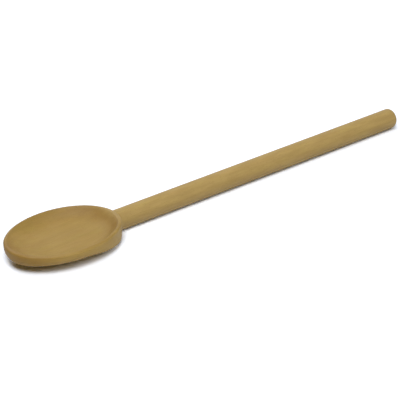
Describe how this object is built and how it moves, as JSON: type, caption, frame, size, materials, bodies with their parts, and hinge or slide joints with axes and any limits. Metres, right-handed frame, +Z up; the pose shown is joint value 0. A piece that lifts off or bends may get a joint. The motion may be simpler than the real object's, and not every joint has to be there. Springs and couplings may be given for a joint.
{
  "type": "spoon",
  "caption": "Wooden cooking spoon with a shallow oval bowl, a rounded rim, a flat sole and a long, straight, round handle with a rounded end.",
  "frame": {"origin": "on the table under the middle of the spoon's length, centred across its width", "axes": "+X along the spoon from the tip of the bowl to the end of the handle, +Y across the bowl, +Z up out of the hollow"},
  "size_m": [0.3, 0.0532, 0.0134],
  "materials": {
    "wood": "matte"
  },
  "bodies": {
    "root": {"spoon": "wood"}
  },
  "joints": []
}
